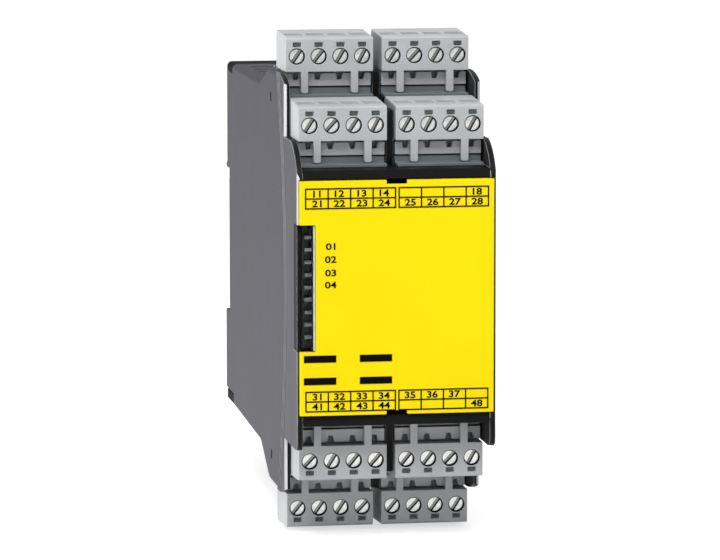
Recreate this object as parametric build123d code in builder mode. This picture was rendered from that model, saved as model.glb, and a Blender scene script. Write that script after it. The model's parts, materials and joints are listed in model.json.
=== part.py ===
from build123d import *
from math import sqrt
import os

# Safety relay in a narrow housing that clips to a 35 mm mounting rail.
# X runs across the front panel, +Y runs from the panel back to the rail, +Z is up.
# The origin is the middle of the face that seats on the rail.
# Every size is in millimetres.
# A depth is counted back from the front panel, and a height from the panel's middle.

# Housing
width = 45.0
depth = 114.5
wall = 2.0
rear_half_height = 43.9
shoulder_rise = 4.3
underside_inset = 2.3
shoulder_front = 46.0
shoulder_rear = 60.0
bend_radius = 8.0
seam_depth = 21.0
seam_radius = 106.0
seam_gap = 0.1
edge_round = 0.6
housing_round = 1.2

# Rail seat, hooks and foot
rail_width = 35.0
rail_thickness = 1.0
rail_clearance = 0.2
seat_raise = 0.3
rear_step = 3.5
rear_ridge = 1.5
ridge_height = 1.3
hook_reach = 1.8
hook_width = 6.0
hook_spread = 15.0
foot_step = 6.3
foot_corner_inset = 7.0
foot_inset = 3.4

# Foot latch and its spring
latch_travel = 3.0
latch_half_width = 10.0
latch_thickness = 3.9
latch_base_height = 2.8
latch_clearance = 0.3
guide_wall = 2.0
guide_lip = 1.5
nose_reach = 1.5
spring_wire = 0.5
spring_radius = 1.3
spring_length = 11.2
spring_turns = 5
stop_height = 1.5

# Strip in the upper rear edge
strip_depth = 10.0
strip_height = 2.2

# Vents and marks on the housing
vent_back = 15.6
vent_pitch = 7.3
vent_count = 4
vent_width = 1.6
vent_inset = 3.5
seam_groove_width = 0.9
seam_groove_depth = 0.35
seam_groove_pitch = 1.7
seam_groove_count = 3
snap_depth = 41.5
snap_size = 2.0
rib_bite = 0.5

# Front section
cheek = 1.3
cheek_front = 0.3
cheek_step_depth = 20.0
nose_rise = 0.7
nose_round = 3.0
cheek_chamfer = 0.65
deck_depth = 5.6
deck_wall = 1.4
bezel_front = 1.0
floor_wall = 1.6
fit_gap = 0.2

# Front cover and its print
cover_side_rim = 0.55
cover_rim = 2.3
cover_thickness = 1.4
cover_gap = 0.2
cover_side_gap = 0.1
pry_width = 4.7
pry_height = 0.9
clip_inset = 9.9
print_thickness = 0.08
print_line = 0.3
table_height = 4.4
table_top_inset = 1.7
table_bottom_inset = 1.0
table_side_inset = 1.35
table_gap = 0.8
bar_size = (7.3, 1.6)
bar_inset = 4.55
bar_pitch = 12.6
bar_rise = 2.4
bar_row_pitch = 5.0

# Indicator window at the left edge of the panel
window_width = 3.9
window_top = 16.3
window_bottom = 11.7
window_sheet = 0.6
window_round = 0.35
guide_bars = 9
guide_pitch = 2.8
guide_bar_height = 0.9

# Terminal rows: depth of the plug's face, and where the plug's inner edge lies
front_row_depth = 8.0
row_step = 13.8
rear_row_depth = 27.0
row_overhang = 0.2

# Terminal plug
poles = 4
plug_gap = 2.0
plug_side_gap = 0.2
plug_height = 7.8
plug_depth = 15.6
plug_rise = 0.8
plug_chamfer = 0.4
plug_corner = 1.0
screw_height = 3.5
screw_well_radius = 1.85
screw_well_depth = 1.75
screw_head_radius = 1.7
screw_head_sunk = 0.8
screw_shank_radius = 1.3
screw_length = 6.4
screw_slot_width = 0.7
screw_slot_depth = 0.6
screw_slot_angles = (48, 57, 52, 62)
marker_width = 1.9
marker_height = 1.1
marker_edge = 1.1
marker_depth = 1.0
marker_core_width = 1.3
marker_core_height = 0.5
marker_core_sunk = 0.3
entry_width = 3.4
entry_length = 3.8
funnel_depth = 0.9
leg_width = 1.66
leg_spread = 5.75
leg_length = 4.9
leg_thickness = 1.6
leg_round = 0.5

# Contact tongue of the plug, and the header that it slides into
tongue_top = 0.5
tongue_bottom = 3.4
tongue_setback = 2.0
tongue_length = 17.5
notch_top = 1.6
notch_bottom = 0.95
notch_height = 1.45
notch_depth = 3.0
header_front = 2.5
header_wall_top = 3.7
header_wall_bottom = 5.1
header_bottom = 5.8
header_lip = 1.5
header_back = 20.0
header_back_wall = 2.0
pin_size = 1.0
pin_height = 1.4
pin_reach = 8.0
pin_tail = 1.0
pin_play = 0.1

# Wire cage and contact of each pole
cage_gap = 1.0
cage_length = 6.2
cage_height = 5.2
cage_wall = 0.7
cage_front_wall = 1.1
cage_setback = 2.6
contact_width = 2.4
contact_height = 2.2
play = 0.15

# Circuit boards and what they carry
board = 1.6
row_board_front = 12.0
row_board_back = 23.4
row_board_gap = 1.6
board_inset = 4.1
board_edge_gap = 5.6
board_front = 60.0
board_back_gap = 8.5
relay_length = 40.0
relay_tall = 15.5
relay_across = 13.0
relay_back_gap = 4.0
relay_heights = (12.0, -6.0)
transformer_size = (22.4, 22.0, 20.0)
transformer_height = -32.5
capacitor_radius = 6.0
capacitor_length = 20.4

# Values worked out from the sizes above
half_width = width / 2
front_half_height = rear_half_height + shoulder_rise
underside_height = rear_half_height - underside_inset
foot_corner_height = rear_half_height - foot_inset
foot_corner_depth = depth - foot_corner_inset
rail_half = rail_width / 2 + rail_clearance
seat_back = depth - seat_raise
seat_half = rail_half - hook_reach - seat_raise
seam_centre = seam_depth + seam_radius
pocket_half = half_width - cheek
inner_half = half_width - wall
front_row_height = front_half_height - row_step
rear_row_height = front_half_height + row_overhang
bezel_height = front_row_height - header_bottom
cover_half_width = half_width - cover_side_rim
cover_half_height = bezel_height - cover_rim
cheek_nose_height = cover_half_height + nose_rise
window_inner = half_width - window_width
rear_floor_top = rear_row_height - header_bottom
slider_front = depth + latch_clearance
slider_rear = slider_front + latch_thickness
latch_bottom = foot_corner_height - latch_clearance
latch_base_top = latch_bottom - latch_base_height
nose_top = rail_width / 2 - nose_reach
pocket_end = rear_row_depth + header_back + header_back_wall + fit_gap
riser_front = front_row_depth + header_back + header_back_wall + fit_gap
riser_back = riser_front + floor_wall
plug_width = pocket_half - plug_side_gap - plug_gap / 2
plug_centre = (plug_width + plug_gap) / 2
pole_pitch = plug_width / poles
cage_width = pole_pitch - cage_gap
header_width = plug_width - 2 * fit_gap
row_board_half = pocket_half - row_board_gap
board_side = inner_half - board_inset
board_half_height = underside_height - board_edge_gap
board_rear = depth - board_back_gap
relay_depth = board_rear - relay_back_gap - relay_length

rows = {
    "upper_rear": (1, rear_row_depth, rear_row_height),
    "upper_front": (1, front_row_depth, front_row_height),
    "lower_front": (-1, front_row_depth, front_row_height),
    "lower_rear": (-1, rear_row_depth, rear_row_height),
}
sides = {"left": -1, "right": 1}


def point(back, up):
    """A point of a side profile: a depth behind the panel and a height."""
    return (back - depth, up)


def seam(up, beyond=0.0):
    """Depth of the curved seam at a height, or of an arc that lies beyond it towards the panel."""
    return seam_centre - sqrt((seam_radius + beyond) ** 2 - up**2)


def front_plane(back):
    """A plane that faces the user, at a depth behind the panel."""
    return Plane(origin=(0, back - depth, 0), x_dir=(1, 0, 0), z_dir=(0, -1, 0))


def side_plane(across):
    """A plane across the housing, on which side profiles are drawn."""
    return Plane(origin=(across, 0, 0), x_dir=(0, 1, 0), z_dir=(1, 0, 0))


def block(across, back, up, mode=Mode.ADD):
    """A square block between two places across, two depths and two heights."""
    with Locations((sum(across) / 2, sum(back) / 2 - depth, sum(up) / 2)):
        Box(abs(across[1] - across[0]), abs(back[1] - back[0]), abs(up[1] - up[0]), mode=mode)


def save(piece, name):
    """Label a finished piece and write it."""
    piece.part.label = name
    export_step(piece.part, f"parts/{name}.step")


def shell_outline(opening=0.0):
    """Side profile of the rear shell. An opening moves the seam towards the user."""
    top = front_half_height
    front = seam(top) - opening
    with BuildSketch() as outline:
        with BuildLine():
            Polyline(
                point(front, top),
                point(shoulder_front, top),
                point(shoulder_rear, rear_half_height),
                point(depth + rear_step, rear_half_height),
                point(depth + rear_step, rail_half),
                point(seat_back, rail_half),
                point(seat_back, -latch_base_top),
                point(foot_corner_depth, -latch_base_top),
                point(foot_corner_depth, -foot_corner_height),
                point(shoulder_rear, -underside_height),
                point(shoulder_front, -top),
                point(front, -top),
            )
            ThreePointArc(point(front, -top), point(seam_depth - opening, 0), point(front, top))
        make_face()
        bends = [
            vertex
            for vertex in outline.vertices()
            if min(abs(vertex.X + depth - place) for place in (shoulder_front, shoulder_rear)) < play
        ]
        fillet(bends, radius=bend_radius)
    return outline.sketch


def rear_housing():
    """The deep rear shell, open at the front, with the rail seat and the latch guides."""
    with BuildPart() as housing:
        with BuildSketch(side_plane(0)):
            add(shell_outline())
        extrude(amount=half_width, both=True)
        long_edges = [
            edge
            for side in (housing.faces().sort_by(Axis.X)[0], housing.faces().sort_by(Axis.X)[-1])
            for edge in side.edges()
            if abs(edge.center().Z) > foot_corner_height
        ]
        fillet(long_edges, radius=housing_round)
        with BuildSketch(side_plane(0)):
            offset(shell_outline(opening=seam_depth), amount=-wall)
        extrude(amount=inner_half, both=True, mode=Mode.SUBTRACT)

        # Raised band that the rail seats on
        block((-half_width, half_width), (seat_back - seat_raise, depth), (-seat_half, seat_half))

        # Rail hooks, the ridge above them and the foot's side ribs
        slot_back = depth + rail_thickness + 2 * rail_clearance
        for side in sides.values():
            hook = (side * hook_spread - hook_width / 2, side * hook_spread + hook_width / 2)
            block(hook, (slot_back, depth + rear_step), (rail_half - hook_reach, rail_half + wall))
            rib = (side * inner_half, side * half_width)
            block(rib, (depth - wall, depth + foot_step), (-rail_half, -latch_base_top))
        ridge_back = depth + rear_step + rear_ridge
        ridge = (ridge_back - rear_ridge - wall, ridge_back)
        block((-half_width, half_width), ridge, (rail_half, rail_half + ridge_height))

        # Guides that hold the sliding latch, and the stop that its spring stands on
        guide_inner = latch_half_width + latch_clearance
        lip_front = slider_rear + latch_clearance
        guide_heights = (-rail_half, -latch_base_top)
        for side in sides.values():
            guide = (side * guide_inner, side * (guide_inner + guide_wall))
            block(guide, (depth - wall, depth + foot_step), guide_heights)
            lip = (side * (guide_inner - guide_lip), side * (guide_inner + guide_wall))
            block(lip, (lip_front, depth + foot_step), guide_heights)
        stop = (spring_bottom() - stop_height, spring_bottom())
        block((-spring_radius, spring_radius), (depth - wall, slider_rear - latch_clearance), stop)

        # Rebate that takes the front section, room for the rear rows and the snap windows
        rebate_up = (-rear_floor_top, rear_floor_top)
        block((-pocket_half, pocket_half), (0, riser_back + fit_gap), rebate_up, Mode.SUBTRACT)
        for sign in (1, -1):
            pocket = (sign * rear_floor_top, sign * (front_half_height + wall))
            block((-pocket_half, pocket_half), (0, pocket_end), pocket, Mode.SUBTRACT)
            window_back = (snap_depth - snap_size / 2, snap_depth + snap_size / 2)
            window_up = (sign * (rear_floor_top - snap_size), sign * rear_floor_top)
            block((-half_width, half_width), window_back, window_up, Mode.SUBTRACT)

        # Rebate for the rear strip, and vents through the top and the bottom
        rebate_front = depth + rear_step - strip_depth
        rebate = (rear_half_height - strip_height, rear_half_height + wall)
        block((-half_width, half_width), (rebate_front, ridge_back), rebate, Mode.SUBTRACT)
        strip_seat = (rear_half_height - strip_height - wall, rear_half_height - strip_height)
        block((-half_width, half_width), (rebate_front - wall, depth + rear_step), strip_seat)
        vent_half = half_width - vent_inset
        upper_vent = (rear_half_height - wall - vent_width / 2, rear_half_height + wall)
        lower_vent = (-foot_corner_height - wall, -foot_corner_height + 2 * wall)
        for number in range(vent_count):
            middle = depth - vent_back - number * vent_pitch
            slot = (middle - vent_width / 2, middle + vent_width / 2)
            for half in ((-vent_half, -wall / 2), (wall / 2, vent_half)):
                block(half, slot, upper_vent, Mode.SUBTRACT)
                block(half, slot, lower_vent, Mode.SUBTRACT)

        # Guide ribs that hold the edges of the main circuit board
        for sign, reach in ((1, rear_half_height), (-1, underside_height)):
            rib_up = (sign * (board_half_height - wall), sign * (reach - wall + rib_bite))
            for start in (board_side - cheek - fit_gap, board_side + board + fit_gap):
                block((start, start + cheek), (board_front + wall, board_front + 2 * wall), rib_up)
                block((start, start + cheek), (board_rear - 2 * wall, board_rear - wall), rib_up)
    save(housing, "rear_housing")


def cheek_outline():
    """Side profile of the front section, with its stepped and rounded front edge."""
    top = front_half_height
    start = seam(top, seam_gap)
    nose = point(cheek_front, cheek_nose_height)
    with BuildSketch() as outline:
        with BuildLine():
            with BuildLine() as edge:
                Line(point(start, top), point(start - wall, top))
                ThreePointArc(
                    point(start - wall, top),
                    point((start - wall + cheek_step_depth) / 2, top - wall / 4),
                    point(cheek_step_depth, top - wall),
                )
                Polyline(
                    point(cheek_step_depth, top - wall),
                    point(cheek_step_depth, front_row_height),
                    point(front_row_depth + wall, front_row_height),
                )
                ThreePointArc(
                    point(front_row_depth + wall, front_row_height),
                    point(front_row_depth - nose_round, front_row_height - wall),
                    nose,
                )
                Line(nose, point(cheek_front, 0))
            mirror(edge.line, about=Plane.XZ)
            ThreePointArc(point(start, -top), point(seam_depth - seam_gap, 0), point(start, top))
        make_face()
    return outline.sketch


def front_housing():
    """The stepped front section: cheeks, deck, terminal floors and ribs between the plugs."""
    with BuildPart() as housing:
        with BuildSketch(side_plane(0)):
            add(cheek_outline())
        extrude(amount=half_width, both=True)
        block((-pocket_half, pocket_half), (-wall, depth), (-2 * width, 2 * width), Mode.SUBTRACT)
        outer_edges = [
            edge
            for edge in housing.edges().filter_by(Axis.Z)
            if abs(edge.center().X) > half_width - play
        ]
        chamfer(outer_edges, length=cheek_chamfer)

        # Fine grooves beside the seam
        for number in range(seam_groove_count):
            radius = seam_radius + seam_groove_width + number * seam_groove_pitch
            for side in sides.values():
                with BuildSketch(side_plane(side * half_width)):
                    with Locations(point(seam_centre, 0)):
                        Circle(radius + seam_groove_width / 2)
                        Circle(radius - seam_groove_width / 2, mode=Mode.SUBTRACT)
                extrude(amount=-side * seam_groove_depth, mode=Mode.SUBTRACT)

        # Recess that seats the edge of the front cover, and the corner that the window closes
        seat = (-wall, cover_thickness + cover_gap)
        seat_half = cover_half_height + cover_gap
        cover_seat = (-cover_half_width - cover_side_gap, cover_half_width + cover_side_gap)
        block(cover_seat, seat, (-seat_half, seat_half), Mode.SUBTRACT)
        window_up = (-window_bottom - cover_gap, window_top + cover_gap)
        block((-half_width, -pocket_half), (-wall, deck_depth), window_up, Mode.SUBTRACT)

        # Deck behind the cover, with two slots for the cover's clips
        deck_back = (deck_depth, deck_depth + deck_wall)
        block((-pocket_half, pocket_half), deck_back, (-bezel_height, bezel_height))
        for across in cover_clip_places():
            for sign in (1, -1):
                slot_up = (sign * (seat_half - 2 * wall), sign * seat_half)
                slot_across = (across - wall - cover_gap, across + wall + cover_gap)
                block(slot_across, (0, deck_depth + deck_wall), slot_up, Mode.SUBTRACT)

        for sign in (1, -1):
            floors(sign)
    save(housing, "front_housing")


def floors(sign):
    """Floors under the two rows on one side of the panel, with the riser and ribs between."""
    inner = inner_half - fit_gap
    bezel = (sign * (cover_half_height + cover_gap), sign * bezel_height)
    block((-pocket_half, pocket_half), (bezel_front, seam(cover_half_height) - fit_gap), bezel)
    block((-inner, inner), (seam(cover_half_height) - wall, riser_back), bezel)
    rear_floor = (sign * (rear_floor_top - floor_wall), sign * rear_floor_top)
    floor_front = rear_row_depth - header_lip
    wide_back = seam(rear_floor_top - floor_wall) - fit_gap
    block((-pocket_half, pocket_half), (floor_front, wide_back), rear_floor)
    block((-inner, inner), (wide_back - wall, rear_board_end()), rear_floor)
    riser_up = (sign * bezel_height, sign * rear_floor_top)
    block((-inner, inner), (riser_front, riser_back), riser_up)
    for face, height in ((front_row_depth, bezel_height), (rear_row_depth, rear_floor_top)):
        board_half = row_board_half + fit_gap
        seat_up = (sign * (height - 2 * floor_wall), sign * height)
        board_back = (face + row_board_front - fit_gap, face + row_board_back + fit_gap)
        block((-board_half, board_half), board_back, seat_up, Mode.SUBTRACT)
    rib = plug_gap / 2 - play
    front_rib_up = (sign * bezel_height, sign * (rear_floor_top - floor_wall))
    block((-rib, rib), (front_row_depth + header_front, riser_front), front_rib_up)
    rear_rib_up = (sign * rear_floor_top, sign * (front_half_height - play))
    block((-rib, rib), (rear_row_depth + header_front, rear_row_depth + row_board_front), rear_rib_up)
    snap_play = play + fit_gap
    snap_back = (snap_depth - snap_size / 2 + snap_play, snap_depth + snap_size / 2 - snap_play)
    snap_up = (sign * (rear_floor_top - snap_size / 2 - snap_play), sign * (rear_floor_top - snap_play))
    for side in sides.values():
        snap_across = (side * (row_board_half + wall / 4), side * (half_width - 2 * fit_gap))
        block(snap_across, snap_back, snap_up)


def rear_board_end():
    """Depth at which the floor under a rear row ends."""
    return rear_row_depth + row_board_back + fit_gap + wall / 2


def cover_clip_places():
    """Places across of the clips that hold the front cover."""
    return (clip_inset - cover_half_width, cover_half_width - clip_inset)


def front_cover():
    """The flat front cover, with a corner cut for the window and a notch to prise it off."""
    with BuildPart() as cover:
        full = (-cover_half_width, cover_half_width)
        block(full, (0, cover_thickness), (-cover_half_height, cover_half_height))
        window_up = (-window_bottom - cover_gap, window_top + cover_gap)
        window_across = (-half_width, -window_inner + cover_gap)
        block(window_across, (0, cover_thickness), window_up, Mode.SUBTRACT)
        pry = (-pry_width / 2, pry_width / 2)
        for sign in (1, -1):
            notch = (sign * (cover_half_height - pry_height), sign * (cover_half_height + wall))
            block(pry, (0, cover_thickness), notch, Mode.SUBTRACT)
            for across in cover_clip_places():
                clip_up = (sign * (cover_half_height - wall), sign * (cover_half_height - wall / 2))
                clip_back = (cover_thickness, deck_depth + deck_wall + cover_gap)
                block((across - wall, across + wall), clip_back, clip_up)
                barb_up = (sign * (cover_half_height - wall), sign * (cover_half_height - wall / 4))
                barb_back = (deck_depth - 4 * cover_gap, deck_depth)
                block((across - wall, across + wall), barb_back, barb_up)
    save(cover, "front_cover")


def print_table(left, right, bottom, top, columns):
    """One ruled table of the print: a frame, a line along its middle and column lines."""
    cell_width = (right - left) / columns
    cell_height = (top - bottom) / 2
    with Locations(((left + right) / 2, (bottom + top) / 2)):
        Rectangle(right - left + print_line, top - bottom + print_line)
        with GridLocations(cell_width, cell_height, columns, 2):
            Rectangle(cell_width - print_line, cell_height - print_line, mode=Mode.SUBTRACT)


def label_print():
    """Ruled tables beside the terminals and four dark bars, as thin raised print."""
    outer = cover_half_width - table_side_inset
    upper_table = cover_half_height - table_top_inset - table_height
    lower_table = table_bottom_inset - cover_half_height
    with BuildPart() as marks:
        with BuildSketch(front_plane(0)):
            for bottom in (upper_table, lower_table):
                print_table(-outer, -table_gap / 2, bottom, bottom + table_height, poles)
                print_table(table_gap / 2, outer, bottom, bottom + table_height, poles)
            for column in (0, 1):
                for row in (0, 1):
                    across = bar_inset - cover_half_width + column * bar_pitch
                    up = lower_table + table_height + bar_rise + row * bar_row_pitch
                    with Locations((across, up)):
                        Rectangle(*bar_size)
        extrude(amount=print_thickness)
    save(marks, "label_print")


def indicator():
    """The dark light guide with its bars, and the clear window that wraps the corner over it."""
    across = (-pocket_half + fit_gap, -window_inner - fit_gap)
    up = (-window_bottom + fit_gap, window_top - fit_gap)
    bar_middle = (window_top - window_bottom) / 2
    with BuildPart() as guide:
        block(across, (deck_depth - window_sheet, deck_depth), up)
        bar_front = 2 * window_sheet + fit_gap
        for number in range(guide_bars):
            middle = bar_middle + (number - (guide_bars - 1) / 2) * guide_pitch
            bar_up = (middle - guide_bar_height / 2, middle + guide_bar_height / 2)
            bar_across = (across[0] + window_sheet, across[1] - window_sheet / 2)
            block(bar_across, (bar_front, deck_depth - window_sheet), bar_up)
        block((across[1] - window_sheet / 2, across[1]), (bar_front, deck_depth), up)
    save(guide, "light_guide")

    with BuildPart() as window:
        block((-half_width, -window_inner), (0, deck_depth), (-window_bottom, window_top))
        inner_up = (-window_bottom + window_sheet / 4, window_top - window_sheet / 4)
        hollow_across = (-half_width + window_sheet, -window_inner + wall)
        block(hollow_across, (window_sheet, deck_depth), inner_up, Mode.SUBTRACT)
        corner = window.edges().filter_by(Axis.Z).group_by(Axis.Y)[0].sort_by(Axis.X)[0]
        fillet(corner, radius=window_round)
    save(window, "light_window")


def rear_strip():
    """The dark strip that lies in the upper rear edge of the housing."""
    back = (depth + rear_step - strip_depth, depth + rear_step)
    with BuildPart() as strip:
        block((-half_width, half_width), back, (rear_half_height - strip_height, rear_half_height))
        fillet(strip.edges().filter_by(Axis.Y).group_by(Axis.Z)[-1], radius=housing_round)
        rear_edges = strip.faces().sort_by(Axis.Y)[-1].edges()
        fillet(rear_edges, radius=edge_round)
    save(strip, "rear_strip")


def spring_bottom():
    """Height of the fixed end of the latch spring."""
    return -latch_base_top + stop_height + 2 * latch_travel - wall / 2


def foot_latch():
    """The sliding latch: a plate with a nose behind the rail's edge, and a base to pull it by."""
    window_top_edge = spring_bottom() + spring_length
    window_bottom_edge = spring_bottom() - stop_height - latch_clearance
    slot_half = spring_radius + spring_wire
    with BuildPart() as latch:
        slider = (slider_front, slider_rear)
        full = (-latch_half_width, latch_half_width)
        block(full, slider, (-latch_bottom, -rail_half - latch_clearance))
        nose_front = depth + rail_thickness + 2 * rail_clearance
        with BuildSketch(side_plane(0)):
            with BuildLine():
                Polyline(
                    point(nose_front, -rail_half - latch_clearance),
                    point(nose_front, -nose_top),
                    point(nose_front + rail_thickness, -nose_top),
                    point(slider_rear, -rail_half),
                    point(slider_rear, -rail_half - latch_clearance),
                    close=True,
                )
            make_face()
        extrude(amount=latch_half_width, both=True)
        base_half = half_width - fit_gap
        base_back = (foot_corner_depth + fit_gap, depth + foot_step - fit_gap)
        block((-base_half, base_half), base_back, (-latch_bottom, -latch_base_top - latch_clearance))
        block((-slot_half, slot_half), slider, (window_bottom_edge, window_top_edge), Mode.SUBTRACT)
        tool_back = (base_back[1] - rail_thickness, base_back[1])
        block((-hook_width / 2, hook_width / 2), tool_back, (-latch_bottom, -latch_base_top), Mode.SUBTRACT)
    save(latch, "foot_latch")


def latch_spring():
    """The coil spring that pushes the latch up against the rail."""
    middle = (slider_front + slider_rear) / 2 - depth
    base = spring_bottom() + spring_wire / 2
    height = spring_length - spring_wire
    with BuildPart() as spring:
        with BuildLine():
            coil = Helix(
                pitch=height / spring_turns,
                height=height,
                radius=spring_radius,
                center=(0, middle, base),
            )
        with BuildSketch(Plane(origin=coil @ 0, z_dir=coil % 0)):
            Circle(spring_wire / 2)
        sweep(is_frenet=True)
    save(spring, "latch_spring")


def pole_places(centre):
    """Places across of the four poles of a plug."""
    first = centre - (poles - 1) / 2 * pole_pitch
    return [first + number * pole_pitch for number in range(poles)]


def plug_housing(name, sign, face, inner, centre):
    """One terminal plug: the screw block, the contact tongue below it and two pull legs."""
    half = plug_width / 2
    outer = inner + plug_height
    across = (centre - half, centre + half)
    tongue_half = header_width / 2
    with BuildPart() as plug:
        with BuildSketch(side_plane(centre)):
            with BuildLine():
                Polyline(
                    point(face, sign * inner),
                    point(face, sign * (outer - plug_chamfer)),
                    point(face + plug_chamfer, sign * outer),
                    point(face + plug_depth - plug_corner, sign * (outer + plug_rise)),
                    point(face + plug_depth, sign * (outer + plug_rise - plug_corner)),
                    point(face + plug_depth, sign * inner),
                    close=True,
                )
            make_face()
        extrude(amount=half, both=True)

        # Contact tongue, joined to the block behind a groove
        tongue_front = face + tongue_setback
        tongue_back = tongue_front + tongue_length
        tongue_across = (centre - tongue_half, centre + tongue_half)
        tongue_up = (sign * (inner - tongue_bottom), sign * (inner - tongue_top))
        block(tongue_across, (tongue_front, tongue_back), tongue_up)
        web_back = (tongue_front + notch_depth, face + plug_depth)
        web_up = (sign * (inner - tongue_top), sign * (inner + tongue_top))
        block(tongue_across, web_back, web_up)

        # Dovetail notches in the upper edge of the tongue's front
        with BuildSketch(front_plane(tongue_front)):
            for place in pole_places(centre):
                with BuildLine():
                    Polyline(
                        (place - notch_top / 2, sign * (inner - tongue_top)),
                        (place + notch_top / 2, sign * (inner - tongue_top)),
                        (place + notch_bottom / 2, sign * (inner - tongue_top - notch_height)),
                        (place - notch_bottom / 2, sign * (inner - tongue_top - notch_height)),
                        close=True,
                    )
                make_face()
        extrude(amount=-notch_depth, mode=Mode.SUBTRACT)

        # Screw wells, shank holes, marker recesses, wire funnels and cage chambers
        screws_up = sign * (inner + screw_height)
        with BuildSketch(front_plane(face)):
            with Locations(*[(place, screws_up) for place in pole_places(centre)]):
                Circle(screw_well_radius)
        extrude(amount=-screw_well_depth - play, mode=Mode.SUBTRACT)
        with BuildSketch(front_plane(face)):
            with Locations(*[(place, screws_up) for place in pole_places(centre)]):
                Circle(screw_shank_radius + play)
        extrude(amount=-cage_setback - play, mode=Mode.SUBTRACT)
        marker_up = sign * (outer - marker_edge - marker_height / 2)
        with BuildSketch(front_plane(face)):
            with Locations(*[(place, marker_up) for place in pole_places(centre)]):
                Rectangle(marker_width, marker_height)
                Rectangle(marker_core_width, marker_core_height, mode=Mode.SUBTRACT)
        extrude(amount=-marker_depth, mode=Mode.SUBTRACT)
        with BuildSketch(front_plane(face)):
            with Locations(*[(place, marker_up) for place in pole_places(centre)]):
                Rectangle(marker_core_width, marker_core_height)
        extrude(amount=-marker_core_sunk, mode=Mode.SUBTRACT)
        chamber = (face + cage_setback - play, face + cage_setback + cage_length + play)
        chamber_low = sign * (inner + screw_height - cage_height / 2 - play)
        chamber_high = sign * (inner + screw_height + cage_height / 2 + play)
        entry_room = cage_length - cage_wall - cage_front_wall
        entry_middle = face + cage_setback + cage_front_wall + entry_room / 2
        entry = (entry_middle - entry_length / 2, entry_middle + entry_length / 2)
        entry_top = sign * (outer + plug_rise + wall)
        funnel = (entry[0] - play, entry[1] + 4 * play)
        funnel_up = (sign * (outer - funnel_depth / 2), entry_top)
        contact_half_height = contact_height / 2 + play
        contact_low = sign * (inner - pin_height - contact_half_height)
        contact_high = sign * (inner - pin_height + contact_half_height)
        contact_front = chamber[1] - cage_wall - 2 * play
        contact_back = tongue_back - cage_wall
        pin_half = pin_size / 2 + play
        pin_up = (sign * (inner - pin_height - pin_half), sign * (inner - pin_height + pin_half))
        for place in pole_places(centre):
            room = cage_width / 2 + play
            block((place - room, place + room), chamber, (chamber_low, chamber_high), Mode.SUBTRACT)
            room = entry_width / 2
            block((place - room, place + room), entry, (chamber_high, entry_top), Mode.SUBTRACT)
            room = entry_width / 2 + 2 * play
            block((place - room, place + room), funnel, funnel_up, Mode.SUBTRACT)
            room = contact_width / 2 + play
            contact_across = (place - room, place + room)
            block(contact_across, (contact_front, chamber[1]), (contact_low, chamber_low), Mode.SUBTRACT)
            block(contact_across, (contact_front, contact_back), (contact_low, contact_high), Mode.SUBTRACT)
            pin_across = (place - pin_half, place + pin_half)
            block(pin_across, (contact_back, tongue_back), pin_up, Mode.SUBTRACT)

        # Legs that a finger or a driver pulls the plug out by
        for side in sides.values():
            leg_tall = leg_length + 2 * leg_round
            leg_middle = (centre + side * leg_spread, sign * (inner + 2 * leg_round - leg_tall / 2))
            with BuildSketch(front_plane(face)):
                with Locations(leg_middle):
                    RectangleRounded(leg_width, leg_tall, leg_round)
            extrude(amount=-leg_thickness)
    save(plug, f"plug_{name}")


def terminal_screws(name, sign, face, inner, centre):
    """The four slotted clamping screws of one plug."""
    head_front = face + screw_head_sunk
    head_back = face + screw_well_depth
    with BuildPart() as screws:
        places = [(place, sign * (inner + screw_height)) for place in pole_places(centre)]
        with BuildSketch(front_plane(head_front)):
            with Locations(*places):
                Circle(screw_head_radius)
        extrude(amount=-(head_back - head_front))
        rims = screws.edges().filter_by(GeomType.CIRCLE).group_by(Axis.Y)[0]
        chamfer(rims, length=play)
        with BuildSketch(front_plane(head_back)):
            with Locations(*places):
                Circle(screw_shank_radius)
        extrude(amount=-(screw_length - (head_back - head_front)))
        with BuildSketch(front_plane(head_front)):
            for place, angle in zip(places, screw_slot_angles):
                with Locations(Location((place[0], place[1], 0), (0, 0, angle))):
                    Rectangle(3 * screw_head_radius, screw_slot_width)
        extrude(amount=-screw_slot_depth, mode=Mode.SUBTRACT)
    save(screws, f"screws_{name}")


def wire_cages(name, sign, face, inner, centre):
    """The four wire cages of one plug, each with the contact that grips a pin."""
    cage_front = face + cage_setback
    cage_back = cage_front + cage_length
    low = inner + screw_height - cage_height / 2
    high = inner + screw_height + cage_height / 2
    contact_up = sign * (inner - pin_height)
    contact_front = cage_back - cage_wall
    contact_back = face + tongue_setback + tongue_length - cage_wall - play
    with BuildPart() as cages:
        for place in pole_places(centre):
            half = cage_width / 2
            block((place - half, place + half), (cage_front, cage_back), (sign * low, sign * high))
            hollow = half - cage_wall
            hollow_back = (cage_front + cage_front_wall, cage_back - cage_wall)
            hollow_up = (sign * (low - wall), sign * (high + wall))
            block((place - hollow, place + hollow), hollow_back, hollow_up, Mode.SUBTRACT)
            contact_half = contact_width / 2
            riser_up = (sign * (inner - pin_height), sign * low)
            block((place - contact_half, place + contact_half), (contact_front, cage_back), riser_up)
            box_up = (contact_up - contact_height / 2, contact_up + contact_height / 2)
            block((place - contact_half, place + contact_half), (contact_front, contact_back), box_up)
            hole = pin_size / 2 + pin_play
            hole_up = (contact_up - hole, contact_up + hole)
            block((place - hole, place + hole), (cage_back, contact_back), hole_up, Mode.SUBTRACT)
        with BuildSketch(front_plane(cage_front)):
            with Locations(*[(place, sign * (inner + screw_height)) for place in pole_places(centre)]):
                Circle(screw_shank_radius + play / 3)
        extrude(amount=-cage_front_wall, mode=Mode.SUBTRACT)
    save(cages, f"cages_{name}")


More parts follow.
